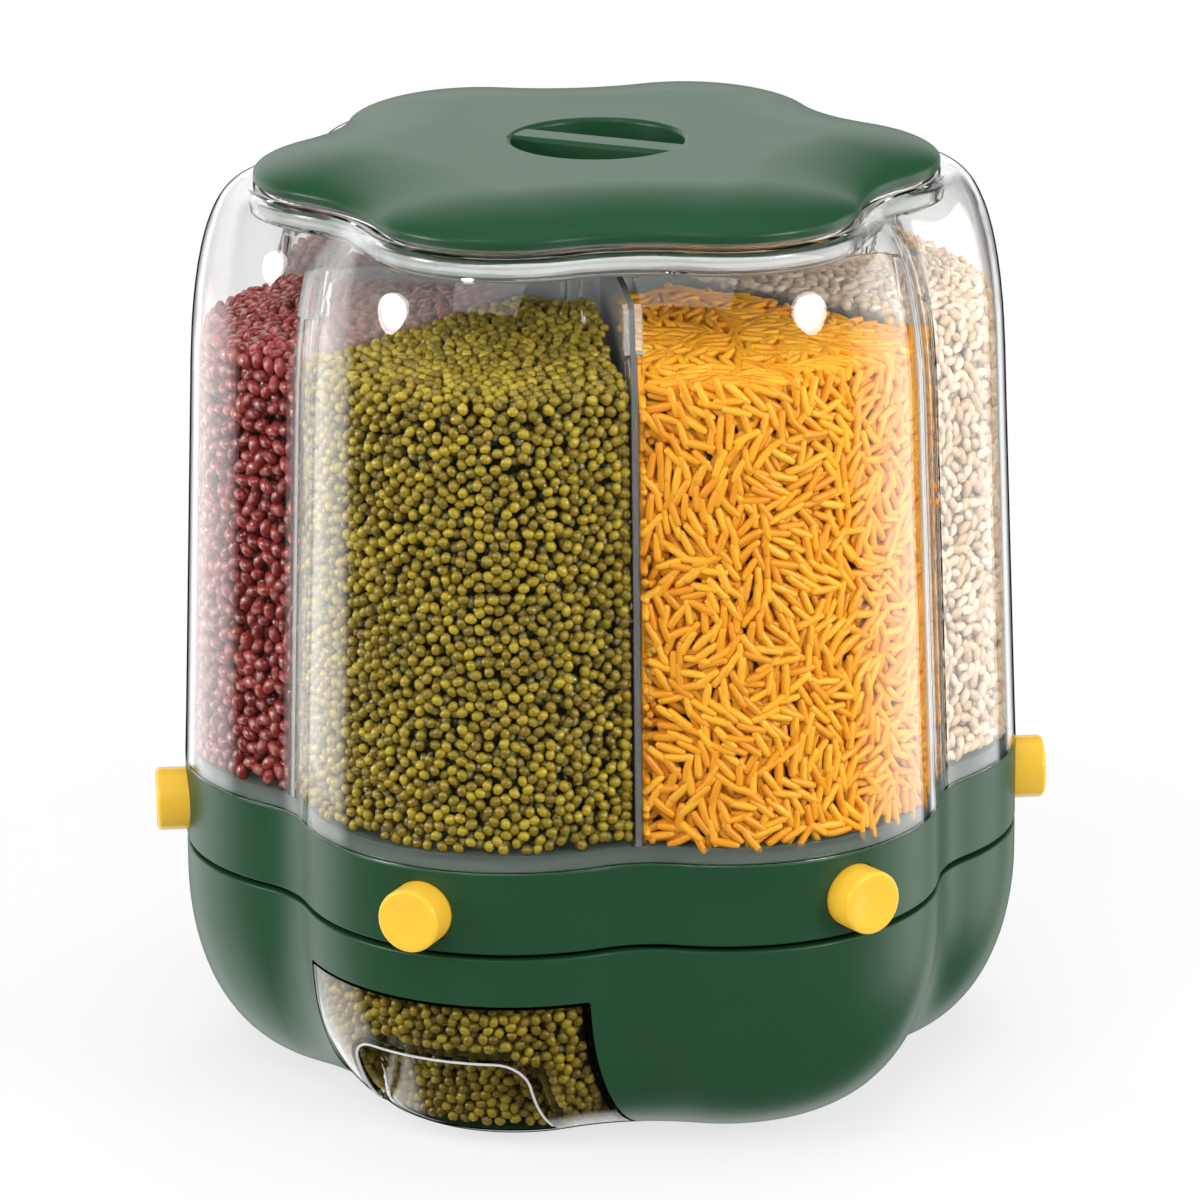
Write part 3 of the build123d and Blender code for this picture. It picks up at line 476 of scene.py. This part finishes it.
def scatter_tree():
    """Geometry Nodes tree that packs grains over the marked faces of a bed."""
    tree, ids, source = open_tree("grain_scatter", {
        "Geometry": "NodeSocketGeometry", "Grain": "NodeSocketObject", "Spacing": "NodeSocketFloat",
        "Tilt": "NodeSocketFloat", "Align": "NodeSocketFloat", "Size Low": "NodeSocketFloat",
        "Size High": "NodeSocketFloat", "Half Length": "NodeSocketVector", "Panel A": "NodeSocketVector",
        "Panel B": "NodeSocketVector", "Panel Gap": "NodeSocketFloat", "Seed": "NodeSocketInt",
        "Material": "NodeSocketMaterial"})
    nodes, links = tree.nodes, tree.links

    def random(kind, low, high, offset):
        """Random value per point or grain; low and high are numbers or sockets."""
        node, seed = nodes.new("FunctionNodeRandomValue"), nodes.new("ShaderNodeMath")
        node.data_type = kind
        first = {"FLOAT": 2, "FLOAT_VECTOR": 0}[kind]
        for socket, value in ((node.inputs[first], low), (node.inputs[first + 1], high)):
            if isinstance(value, bpy.types.NodeSocket):
                links.new(value, socket)
            else:
                socket.default_value = value
        seed.operation = "ADD"
        seed.inputs[1].default_value = offset
        links.new(source.outputs["Seed"], seed.inputs[0])
        links.new(seed.outputs[0], node.inputs["Seed"])
        return node.outputs[{"FLOAT": 1, "FLOAT_VECTOR": 0}[kind]]

    shown = nodes.new("GeometryNodeInputNamedAttribute")
    shown.data_type = "BOOLEAN"
    shown.inputs["Name"].default_value = "shown"
    points = nodes.new("GeometryNodeDistributePointsOnFaces")
    points.distribute_method = "POISSON"
    points.inputs["Density Max"].default_value = MOST_GRAINS
    links.new(source.outputs["Geometry"], points.inputs["Mesh"])
    links.new(shown.outputs["Attribute"], points.inputs["Selection"])
    links.new(source.outputs["Spacing"], points.inputs["Distance Min"])
    links.new(source.outputs["Seed"], points.inputs["Seed"])
    leaned = nodes.new("ShaderNodeVectorMath")
    leaned.operation = "SCALE"
    links.new(random("FLOAT_VECTOR", (-1, -1, 0), (1, 1, 0), 5), leaned.inputs[0])
    links.new(source.outputs["Tilt"], leaned.inputs["Scale"])
    drift, twist = nodes.new("ShaderNodeTexNoise"), nodes.new("ShaderNodeMix")
    drift.inputs["Scale"].default_value = DRIFT_SCALE
    twist.data_type = "VECTOR"
    turn = nodes.new("ShaderNodeVectorMath")
    turn.operation = "MULTIPLY"
    turn.inputs[1].default_value = (0, 0, DRIFT_TURN)
    links.new(drift.outputs["Fac"], turn.inputs[0])
    links.new(source.outputs["Align"], twist.inputs["Factor"])
    links.new(random("FLOAT_VECTOR", (0, 0, -math.pi), (0, 0, math.pi), 3), twist.inputs["A"])
    links.new(turn.outputs["Vector"], twist.inputs["B"])
    pose = points.outputs["Rotation"]
    for angles in (twist.outputs["Result"], leaned.outputs["Vector"]):
        euler, rotate = nodes.new("FunctionNodeEulerToRotation"), nodes.new("FunctionNodeRotateRotation")
        rotate.rotation_space = "LOCAL"
        links.new(angles, euler.inputs["Euler"])
        links.new(pose, rotate.inputs["Rotation"])
        links.new(euler.outputs["Rotation"], rotate.inputs["Rotate By"])
        pose = rotate.outputs["Rotation"]
    where, reach = nodes.new("GeometryNodeInputPosition"), nodes.new("FunctionNodeRotateVector")
    links.new(source.outputs["Half Length"], reach.inputs["Vector"])
    links.new(pose, reach.inputs["Rotation"])
    nearest = None
    for end in ("ADD", "SUBTRACT"):
        tip = nodes.new("ShaderNodeVectorMath")
        tip.operation = end
        links.new(where.outputs["Position"], tip.inputs[0])
        links.new(reach.outputs["Vector"], tip.inputs[1])
        for panel in ("Panel A", "Panel B"):
            room, closer = nodes.new("ShaderNodeVectorMath"), nodes.new("ShaderNodeMath")
            room.operation, closer.operation = "DOT_PRODUCT", "MINIMUM"
            links.new(tip.outputs["Vector"], room.inputs[0])
            links.new(source.outputs[panel], room.inputs[1])
            links.new(room.outputs["Value"], closer.inputs[0])
            links.new(nearest or room.outputs["Value"], closer.inputs[1])
            nearest = closer.outputs[0]
    crosses, kept = nodes.new("FunctionNodeCompare"), nodes.new("GeometryNodeDeleteGeometry")
    crosses.operation = "LESS_THAN"
    links.new(nearest, crosses.inputs["A"])
    links.new(source.outputs["Panel Gap"], crosses.inputs["B"])
    links.new(points.outputs["Points"], kept.inputs["Geometry"])
    links.new(crosses.outputs["Result"], kept.inputs["Selection"])
    grain, place = nodes.new("GeometryNodeObjectInfo"), nodes.new("GeometryNodeInstanceOnPoints")
    links.new(source.outputs["Grain"], grain.inputs["Object"])
    links.new(kept.outputs["Geometry"], place.inputs["Points"])
    links.new(grain.outputs["Geometry"], place.inputs["Instance"])
    links.new(pose, place.inputs["Rotation"])
    grown_size = random("FLOAT", source.outputs["Size Low"], source.outputs["Size High"], 7)
    links.new(grown_size, place.inputs["Scale"])
    store = nodes.new("GeometryNodeStoreNamedAttribute")
    store.data_type, store.domain = "FLOAT", "INSTANCE"
    store.inputs["Name"].default_value = "tone"
    links.new(place.outputs["Instances"], store.inputs["Geometry"])
    links.new(random("FLOAT", 0.0, 1.0, 9), store.inputs["Value"])
    close_tree(tree, source, store.outputs["Geometry"])
    return tree, ids


def bead_tree():
    """Geometry Nodes tree that runs a round bead along a line of edges."""
    tree, ids, source = open_tree("edge_bead", {
        "Geometry": "NodeSocketGeometry", "Radius": "NodeSocketFloat", "Material": "NodeSocketMaterial"})
    nodes, links = tree.nodes, tree.links
    line, ring = nodes.new("GeometryNodeMeshToCurve"), nodes.new("GeometryNodeCurvePrimitiveCircle")
    bead = nodes.new("GeometryNodeCurveToMesh")
    ring.inputs["Resolution"].default_value = 8
    bead.inputs["Fill Caps"].default_value = True
    links.new(source.outputs["Geometry"], line.inputs["Mesh"])
    links.new(source.outputs["Radius"], ring.inputs["Radius"])
    links.new(line.outputs["Curve"], bead.inputs["Curve"])
    links.new(ring.outputs["Curve"], bead.inputs["Profile Curve"])
    close_tree(tree, source, bead.outputs["Mesh"])
    return tree, ids


SCATTER, SCATTER_IDS = scatter_tree()
BEAD, BEAD_IDS = bead_tree()


def show(name, mesh, material=None):
    """Put a mesh in the scene as an object at the origin."""
    thing = bpy.data.objects.new(name, mesh)
    bpy.context.scene.collection.objects.link(thing)
    if material is not None:
        mesh.materials.append(material)
    return thing


def grown(name, start, tree, ids, values):
    """Run a Geometry Nodes tree on a mesh and return the result as one plain mesh object."""
    holder = show(name + "_start", start)
    modifier = holder.modifiers.new("grow", "NODES")
    modifier.node_group = tree
    for key, value in values.items():
        modifier[ids[key]] = value
    graph = bpy.context.evaluated_depsgraph_get()
    mesh = bpy.data.meshes.new_from_object(holder.evaluated_get(graph))
    mesh.name = name
    bpy.data.objects.remove(holder)
    return show(name, mesh)


def scatter(name, bed, grain, values):
    """Pack copies of a grain over a bed mesh."""
    seedling = show(name + "_seed", grain)
    piece = grown(name, bed, SCATTER, SCATTER_IDS, {"Grain": seedling, **values})
    bpy.data.objects.remove(seedling)
    return piece


def recess_edge():
    """Rounded edge of the finger recess where it breaks through the drawer's front; its pale, half-clear
    finish paints part of the highlight line along the mouth.
    """
    low, spring = RECESS_EDGE_LOW, RECESS_TOP - RECESS_CORNER
    side = [(RECESS_HALF_WIDTH, height) for height in np.linspace(low, spring, 16)]
    bend = [(RECESS_HALF_WIDTH - RECESS_CORNER * (1 - math.cos(a)), spring + RECESS_CORNER * math.sin(a))
            for a in np.linspace(0, math.pi / 2, 9)[1:]]
    head = [(across, RECESS_TOP) for across in np.linspace(bend[-1][0], -bend[-1][0], 25)[1:-1]]
    half = side + bend
    line = half + head + [(-across, height) for across, height in reversed(half)]
    spots = []
    for across, height in line:
        skin = lobe_edge(base_inset(height) + EDGE_SINK)
        spots.append((np.interp(across, skin[:, 1], skin[:, 0]), across, height))
    spots = np.array(spots)
    spots[:, :2] = turned(spots[:, :2], 1)
    mesh = bpy.data.meshes.new("recess_edge_line")
    mesh.from_pydata([tuple(spot) for spot in spots], [(k, k + 1) for k in range(len(spots) - 1)], [])
    piece = grown("recess_edge", mesh, BEAD, BEAD_IDS, {"Radius": EDGE_RADIUS, "Material": PALE_EDGE_HIGHLIGHT})
    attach(piece, "drawer")


def panel_sides(lobe):
    """Inward directions of the two panels beside a lobe; none for the drawer."""
    if lobe is None:
        return [(0.0, 0.0, 0.0)] * 2
    sides = np.array([[math.sin(HALF_STEP), side * math.cos(HALF_STEP)] for side in (-1, 1)])
    return [(x, y, 0.0) for x, y in turned(sides, lobe).tolist()]


# Depth of each layer of grain in grain thicknesses, and its painted shade, the share by which its colour is
# darkened to stand in for the shade between grains
LAYERS = {"front": (0.0, 0.0), "middle": (0.5, 0.3), "back": (1.0, 0.6)}
# The core is a body of painted shade: the grain colour darkened to stand in for shade far inside the heap.
CORE_DEPTH, CORE_SHADE_SHARE = 1.5, 0.15
WALL_GAP = 0.0003
SIZE_LOW, SIZE_HIGH = 0.9, 1.06
PANEL_CLEARANCE, NO_PANEL = 1.2, -1.0
LAYER_SEED = 50
INNER_SIDES, INNER_RINGS = 5, 4


class Crop:
    """One kind of grain: sizes in metres, how close it packs and how it is shaped and coloured."""

    def __init__(self, name, size, spacing, coat, bend=0.0, sides=6, rings=5, blunt=1.0, eye=0.0,
                 tilt=0.3, align=0.0, dark=1.0):
        self.name, self.size, self.spacing, self.coat = name, size, spacing, coat
        self.bend, self.sides, self.rings, self.blunt, self.eye = bend, sides, rings, blunt, eye
        self.tilt, self.align, self.dark, self.thick = tilt, align, dark, size[2]
        ramp = coat.node_tree.nodes["Color Ramp"].color_ramp
        self.core = shaded_core_finish(name + "_core", ramp.elements[1].color[:3], CORE_SHADE_SHARE)

    def fill(self, name, body, bed, seed, lobe=None):
        """Layers of grain, darkened inwards by painted shade, and a core; bed(name, gap) makes the surface
        that they follow.
        """
        gap = self.thick / 2 + WALL_GAP
        panel_a, panel_b = panel_sides(lobe)
        for layer, (part, (depth, shade)) in enumerate(LAYERS.items()):
            sides, rings = self.sides, self.rings
            if depth:
                sides, rings = INNER_SIDES, max(INNER_RINGS, self.rings - 2)
            grain = seed_mesh(name + part + "_seed", self.size, sides, rings, self.bend, self.blunt, self.eye,
                              shade * self.dark)
            surface = bed(name + part + "_bed", gap + depth * self.thick)
            piece = scatter(f"{name}_{part}", surface, grain, {
                "Spacing": self.spacing, "Tilt": self.tilt, "Align": self.align,
                "Size Low": SIZE_LOW, "Size High": SIZE_HIGH, "Half Length": (self.size[0] / 2, 0.0, 0.0),
                "Panel A": panel_a, "Panel B": panel_b,
                "Panel Gap": PANEL_CLEARANCE * PANEL_HALF if lobe else NO_PANEL,
                "Seed": seed + LAYER_SEED * layer, "Material": self.coat})
            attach(piece, body)
        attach(show(name + "_core", bed(name + "_core", gap + self.thick * CORE_DEPTH), self.core), body)


MUNG = Crop("mung", (0.0040, 0.0036, 0.0034), 0.0031, seed_coat(
    "mung_coat", [(0.17, 0.113, 0.003), (0.29, 0.20, 0.006), (0.45, 0.33, 0.014)],
    (0.80, 0.74, 0.42), 0.26, 1.0),
    eye=0.0010, dark=1.5)
ORZO = Crop("orzo", (0.0100, 0.0029, 0.0027), 0.0037, seed_coat(
    "orzo_coat", [(0.84, 0.31, 0.008), (0.94, 0.40, 0.014), (1.0, 0.50, 0.03)], (0.95, 0.6, 0.2), 0.38),
    bend=0.0002, rings=7, blunt=0.25, tilt=0.05, align=0.85, dark=0.6)
WHEAT = Crop("wheat", (0.0062, 0.0038, 0.0034), 0.0036, seed_coat(
    "wheat_coat", [(0.62, 0.42, 0.25), (0.78, 0.58, 0.39), (0.9, 0.74, 0.56)], (0.35, 0.2, 0.12), 0.4),
    eye=0.0009, dark=1.2)
OAT = Crop("oat", (0.0080, 0.0029, 0.0026), 0.0037, seed_coat(
    "oat_coat", [(0.38, 0.24, 0.12), (0.52, 0.36, 0.20), (0.62, 0.47, 0.30)], (0.7, 0.6, 0.4), 0.5),
    sides=5, blunt=1.1, tilt=0.2, align=0.3)
SORGHUM = Crop("sorghum", (0.0044, 0.0038, 0.0035), 0.0037, seed_coat(
    "sorghum_coat", [(0.13, 0.035, 0.018), (0.21, 0.06, 0.03), (0.30, 0.11, 0.06)], (0.5, 0.3, 0.2), 0.35),
    sides=5, eye=0.0009)
ADZUKI = Crop("adzuki", (0.0064, 0.0045, 0.0043), 0.0043, seed_coat(
    "adzuki_coat", [(0.15, 0.012, 0.010), (0.24, 0.024, 0.018), (0.32, 0.045, 0.034)],
    (0.7, 0.5, 0.44), 0.2, 0.9),
    bend=0.0003, sides=7, rings=6, blunt=0.85, eye=0.0009)

# Compartment, grain in it and how high it stands
FILLS = [(1, MUNG, 0.259), (2, ORZO, 0.261), (3, WHEAT, 0.263), (4, OAT, 0.264), (5, SORGHUM, 0.262),
         (6, ADZUKI, 0.256)]
HOPPER_SEED, DRAWER_SEED = 4, 21
for lobe, crop, level in FILLS:
    crop.fill(crop.name, "turntable", lambda name, gap: hopper_bed(name, lobe, gap, level - gap),
              HOPPER_SEED + lobe, lobe)
MUNG.fill("drawer_mung", "drawer", drawer_bed, DRAWER_SEED)
recess_edge()


# Studio: the white surround, what shines of it in glossy faces, and the floor
BACKDROP_TURN = 158.0
BACKDROP_DIP = -23.0
BACKDROP_EDGE = 48.0
BACKDROP_FADE = 8.0
BACKDROP_GLOSS = 1.25
SHADE_EDGE = 16.0
ROOM_GLOSS = 0.03
ROOM_LIGHT = 0.38
FLOOR_REACH = 0.9
FLOOR_FADE = (0.28, 0.5)
FLOOR_LIFT = 0.72

# Lamps: azimuth, elevation and radiance, where a radiance of 1 looks white; sizes in metres
AIM = Vector((0, 0, 0.16))
LAMP_DISTANCE, FILL_DISTANCE = 1.5, 1.8
LEFT_LAMP, RIGHT_LAMP, SIDE_LAMP_SIZE = (-47, 16, 15), (76, 17, 14), (0.52, 0.42)
HIGH_LAMP, HIGH_LAMP_SIZE = (-8, 52, 25), (0.16, 0.16)
FRONT_FILL, FRONT_FILL_SIZE = (10, 38, 2.4), (1.2, 1.0)
TOP_PLACE, TOP_SIZE, TOP_RADIANCE = Vector((0.05, 0.25, 1.7)), (1.2, 1.2), 2.8
CARDS = 3
LEFT_CARD_SIDE, LEFT_CARD_BACK, LEFT_CARD_FRONT, LEFT_CARD_STEP = -0.43, 0.06, -0.13, 0.035
LEFT_CARD_HEIGHT, LEFT_CARD_RADIANCE = 0.22, 0.6
RIGHT_CARD_END, RIGHT_CARD_REACH, RIGHT_CARD_STEP = CAMERA_AZIMUTH + 124, 50, 10
RIGHT_CARD_DISTANCE, RIGHT_CARD_MIDDLE, RIGHT_CARD_HEIGHT, RIGHT_CARD_RADIANCE = 0.95, 0.1, 1.0, 0.58


def studio_point(azimuth, elevation, distance, height=0.0):
    """Point round the object; azimuth is counted like the camera's."""
    a, e = math.radians(azimuth), math.radians(elevation)
    toward = Vector((math.sin(a) * math.cos(e), -math.cos(a) * math.cos(e), math.sin(e)))
    return toward * distance + Vector((0, 0, height))


def area_lamp(name, place, target, size, radiance, shape="RECTANGLE", glossy=True, diffuse=True):
    """Soft box facing a point; radiance 1 looks white."""
    data = bpy.data.lights.new(name, "AREA")
    data.shape = shape
    data.size, data.size_y = size
    area = size[0] * size[1] * (math.pi / 4 if shape == "ELLIPSE" else 1)
    data.energy = radiance * math.pi * area
    lamp = bpy.data.objects.new(name, data)
    bpy.context.scene.collection.objects.link(lamp)
    lamp.location = place
    lamp.rotation_euler = (Vector(target) - place).to_track_quat("-Z", "Y").to_euler()
    lamp.visible_glossy, lamp.visible_diffuse = glossy, diffuse
    return lamp


def surround():
    """White seen behind the object and through clear plastic; softer room light elsewhere."""
    world = bpy.data.worlds.new("surround")
    bpy.context.scene.world = world
    world.use_nodes = True
    nodes, links = world.node_tree.nodes, world.node_tree.links
    path = nodes.new("ShaderNodeLightPath")
    bounced, straight = nodes.new("ShaderNodeMath"), nodes.new("ShaderNodeMath")
    place, shiny = nodes.new("ShaderNodeTexCoord"), nodes.new("ShaderNodeMath")
    links.new(path.outputs["Diffuse Depth"], bounced.inputs[0])
    links.new(path.outputs["Glossy Depth"], bounced.inputs[1])
    straight.operation = "LESS_THAN"
    straight.inputs[1].default_value = 0.5
    links.new(bounced.outputs[0], straight.inputs[0])
    shiny.operation = "GREATER_THAN"
    shiny.inputs[1].default_value = 0.5
    links.new(path.outputs["Glossy Depth"], shiny.inputs[0])

    def around(azimuth, elevation, edge, inside, outside):
        """Strength inside a cone round a direction, fading to the strength outside it."""
        toward, strength = nodes.new("ShaderNodeVectorMath"), nodes.new("ShaderNodeMapRange")
        toward.operation = "DOT_PRODUCT"
        toward.inputs[1].default_value = studio_point(azimuth, elevation, 1)
        links.new(place.outputs["Generated"], toward.inputs[0])
        strength.inputs["From Min"].default_value = math.cos(math.radians(edge + BACKDROP_FADE))
        strength.inputs["From Max"].default_value = math.cos(math.radians(edge))
        strength.inputs["To Min"].default_value = outside
        strength.inputs["To Max"].default_value = inside
        links.new(toward.outputs["Value"], strength.inputs["Value"])
        return strength.outputs["Result"]

    backdrop = nodes.new("ShaderNodeMath")
    backdrop.operation = "MULTIPLY"
    links.new(around(CAMERA_AZIMUTH - BACKDROP_TURN, BACKDROP_DIP, BACKDROP_EDGE, BACKDROP_GLOSS, ROOM_GLOSS),
              backdrop.inputs[0])
    links.new(around(CAMERA_AZIMUTH + 180, -CAMERA_ELEVATION, SHADE_EDGE, 0.0, 1.0), backdrop.inputs[1])
    glossy, mix = nodes.new("ShaderNodeMix"), nodes.new("ShaderNodeMix")
    glossy.inputs["A"].default_value = ROOM_LIGHT
    links.new(shiny.outputs[0], glossy.inputs["Factor"])
    links.new(backdrop.outputs[0], glossy.inputs["B"])
    links.new(straight.outputs[0], mix.inputs["Factor"])
    links.new(glossy.outputs["Result"], mix.inputs["A"])
    mix.inputs["B"].default_value = 1.0
    links.new(mix.outputs["Result"], nodes["Background"].inputs["Strength"])
    nodes["Background"].inputs["Color"].default_value = (1, 1, 1, 1)


def floor():
    """White table that fades into the white surround."""
    mesh = bpy.data.meshes.new("floor")
    r = FLOOR_REACH
    mesh.from_pydata([(-r, -r, 0), (r, -r, 0), (r, r, 0), (-r, r, 0)], [], [(0, 1, 2, 3)])
    material, nodes, links, shader = new_material("floor_white")
    shader.inputs["Base Color"].default_value = (0.9, 0.9, 0.9, 1)
    shader.inputs["Roughness"].default_value = 0.9
    shader.inputs["Specular IOR Level"].default_value = 0.0
    place, reach = nodes.new("ShaderNodeTexCoord"), nodes.new("ShaderNodeVectorMath")
    fade = nodes.new("ShaderNodeMapRange")
    through, mix = nodes.new("ShaderNodeBsdfTransparent"), nodes.new("ShaderNodeMixShader")
    glow, lift = nodes.new("ShaderNodeEmission"), nodes.new("ShaderNodeMixShader")
    lift.inputs["Fac"].default_value = FLOOR_LIFT
    links.new(shader.outputs["BSDF"], lift.inputs[1])
    links.new(glow.outputs["Emission"], lift.inputs[2])
    reach.operation = "LENGTH"
    fade.interpolation_type = "SMOOTHSTEP"
    fade.inputs["From Min"].default_value, fade.inputs["From Max"].default_value = FLOOR_FADE
    links.new(place.outputs["Object"], reach.inputs[0])
    links.new(reach.outputs["Value"], fade.inputs["Value"])
    links.new(fade.outputs["Result"], mix.inputs["Fac"])
    links.new(lift.outputs["Shader"], mix.inputs[1])
    links.new(through.outputs["BSDF"], mix.inputs[2])
    links.new(mix.outputs["Shader"], nodes["Material Output"].inputs["Surface"])
    table = show("floor", mesh, material)
    table.visible_glossy = table.visible_transmission = False


def lamps():
    """Round lamps for the highlights, cards that show in the clear walls, broad front and top light."""
    def round_lamp(name, values, size):
        azimuth, elevation, radiance = values
        place = studio_point(azimuth, elevation, LAMP_DISTANCE, AIM.z)
        area_lamp(name, place, AIM, size, radiance, "ELLIPSE")

    round_lamp("left_lamp", LEFT_LAMP, SIDE_LAMP_SIZE)
    round_lamp("right_lamp", RIGHT_LAMP, SIDE_LAMP_SIZE)
    for step in range(CARDS):
        front = LEFT_CARD_FRONT - LEFT_CARD_STEP * step
        card = Vector((LEFT_CARD_SIDE, (front + LEFT_CARD_BACK) / 2, LEFT_CARD_HEIGHT / 2))
        size = (LEFT_CARD_BACK - front, LEFT_CARD_HEIGHT)
        area_lamp(f"left_card_{step}", card, card + Vector((1, 0, 0)), size, LEFT_CARD_RADIANCE,
                  diffuse=False)
    azimuth, elevation, radiance = FRONT_FILL
    place = studio_point(azimuth, elevation, FILL_DISTANCE, AIM.z)
    area_lamp("front_fill", place, AIM, FRONT_FILL_SIZE, radiance, glossy=False)
    for step in range(CARDS):
        reach = RIGHT_CARD_REACH - RIGHT_CARD_STEP * step
        wide = 2 * RIGHT_CARD_DISTANCE * math.tan(math.radians(reach / 2))
        card = studio_point(RIGHT_CARD_END - reach / 2, 0, RIGHT_CARD_DISTANCE, RIGHT_CARD_MIDDLE)
        area_lamp(f"right_card_{step}", card, AIM, (wide, RIGHT_CARD_HEIGHT), RIGHT_CARD_RADIANCE)
    area_lamp("top_light", TOP_PLACE, AIM, TOP_SIZE, TOP_RADIANCE, glossy=False)
    round_lamp("high_lamp", HIGH_LAMP, HIGH_LAMP_SIZE)


def camera():
    """Camera at the photograph's place."""
    data = bpy.data.cameras.new("camera")
    data.lens, data.sensor_width = CAMERA_LENS, CAMERA_SENSOR
    data.clip_start, data.clip_end = 0.05, 50.0
    eye = bpy.data.objects.new("camera", data)
    bpy.context.scene.collection.objects.link(eye)
    back = studio_point(CAMERA_AZIMUTH, CAMERA_ELEVATION, 1)
    side = studio_point(CAMERA_AZIMUTH + 90, 0, 1)
    turn = Matrix((side, back.cross(side), back)).transposed().to_4x4() @ Matrix.Rotation(CAMERA_ROLL, 4, "Z")
    target = Vector((0, 0, CAMERA_TARGET_HEIGHT)) + side * CAMERA_TARGET_SIDE
    eye.matrix_world = Matrix.Translation(target + back * CAMERA_DISTANCE) @ turn
    bpy.context.scene.camera = eye


bpy.context.scene.view_settings.view_transform = "Standard"
surround()
floor()
lamps()
camera()
